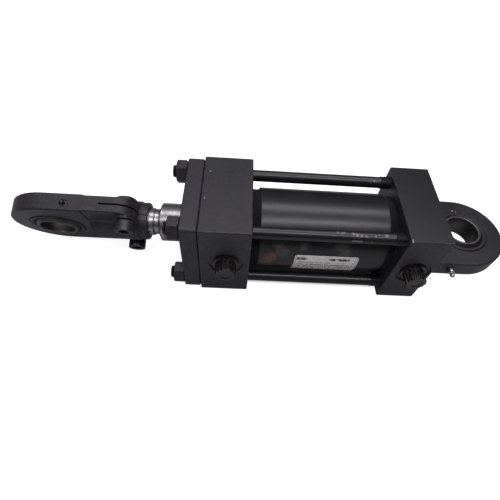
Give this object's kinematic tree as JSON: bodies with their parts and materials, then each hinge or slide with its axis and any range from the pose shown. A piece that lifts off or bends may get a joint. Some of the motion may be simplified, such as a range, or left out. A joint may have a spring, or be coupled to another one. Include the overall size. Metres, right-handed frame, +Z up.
{
  "type": "tie-rod cylinder with eye ends",
  "caption": "Short square-headed tie-rod cylinder with plugged ports, a clamped rod eye and a cap eye, both with spherical bearings; it pushes and pulls between two pins.",
  "frame": {"origin": "centre of the rod-end head's bottom face, on the plane that the part lies on", "axes": "+X along the rod towards the cap eye, +Y away from the ports, +Z up; the cylinder axis is 45 mm above the origin"},
  "size_m": [0.4635, 0.102, 0.09],
  "materials": {
    "black_paint": "satin black paint, worn at the edges",
    "tube_paint": "satin black paint",
    "rod_chrome": "ground and polished",
    "bearing_steel": "phosphated bearing steel",
    "dark_steel": "blackened screws",
    "nipple_zinc": "zinc plated",
    "inner_iron": "machined",
    "seal_polymer": "seal polymer",
    "o_ring_rubber": "matt",
    "plug_plastic": "moulded",
    "label_foil": "thin printed foil"
  },
  "bodies": {
    "barrel": {"rod_end_head": "black_paint", "retainer_plate": "black_paint", "gland_bush": "inner_iron", "rod_seal": "seal_polymer", "rod_wiper": "seal_polymer", "gland_o_ring": "o_ring_rubber", "barrel_tube": "tube_paint", "tube_seal_head": "o_ring_rubber", "tube_seal_cap": "o_ring_rubber", "name_label": "label_foil", "tie_rod_top_front": "black_paint", "tie_rod_top_back": "black_paint", "tie_rod_bottom_front": "black_paint", "tie_rod_bottom_back": "black_paint", "tie_rod_nut_top_front": "black_paint", "tie_rod_nut_top_back": "black_paint", "tie_rod_nut_bottom_front": "black_paint", "tie_rod_nut_bottom_back": "black_paint", "port_plug_head": "plug_plastic", "port_plug_cap": "plug_plastic", "cap_with_eye": "black_paint", "cap_bearing_outer_ring": "bearing_steel", "cap_grease_nipple": "nipple_zinc"},
    "cap_eye_ball": {"cap_bearing_inner_ring": "bearing_steel"},
    "piston_rings": {"piston_seal": "seal_polymer", "wear_ring_front": "seal_polymer", "wear_ring_rear": "seal_polymer"},
    "rod_assembly": {"piston_rod": "rod_chrome", "piston": "inner_iron", "piston_nut": "inner_iron", "rod_eye_body": "black_paint", "clamp_screw_upper": "dark_steel", "clamp_screw_lower": "dark_steel", "rod_eye_bearing_outer_ring": "bearing_steel", "rod_eye_grease_nipple": "nipple_zinc"},
    "rod_eye_ball": {"rod_eye_bearing_inner_ring": "bearing_steel"}
  },
  "joints": [
    {"name": "rod_slide", "type": "slide", "parent": "barrel", "child": "piston_rings", "axis": [-1, 0, 0], "range_m": [0, 0.09]},
    {"name": "rod_turn", "type": "hinge", "parent": "piston_rings", "child": "rod_assembly", "pos_m": [0, 0, 0.045], "axis": [1, 0, 0], "continuous": true},
    {"name": "rod_eye_ball_turn", "type": "hinge", "parent": "rod_assembly", "child": "rod_eye_ball", "pos_m": [-0.1575, 0, 0.045], "axis": [0, -0.9397, -0.342], "continuous": true},
    {"name": "cap_eye_ball_turn", "type": "hinge", "parent": "barrel", "child": "cap_eye_ball", "pos_m": [0.2275, 0, 0.045], "axis": [0, 0, 1], "continuous": true}
  ]
}
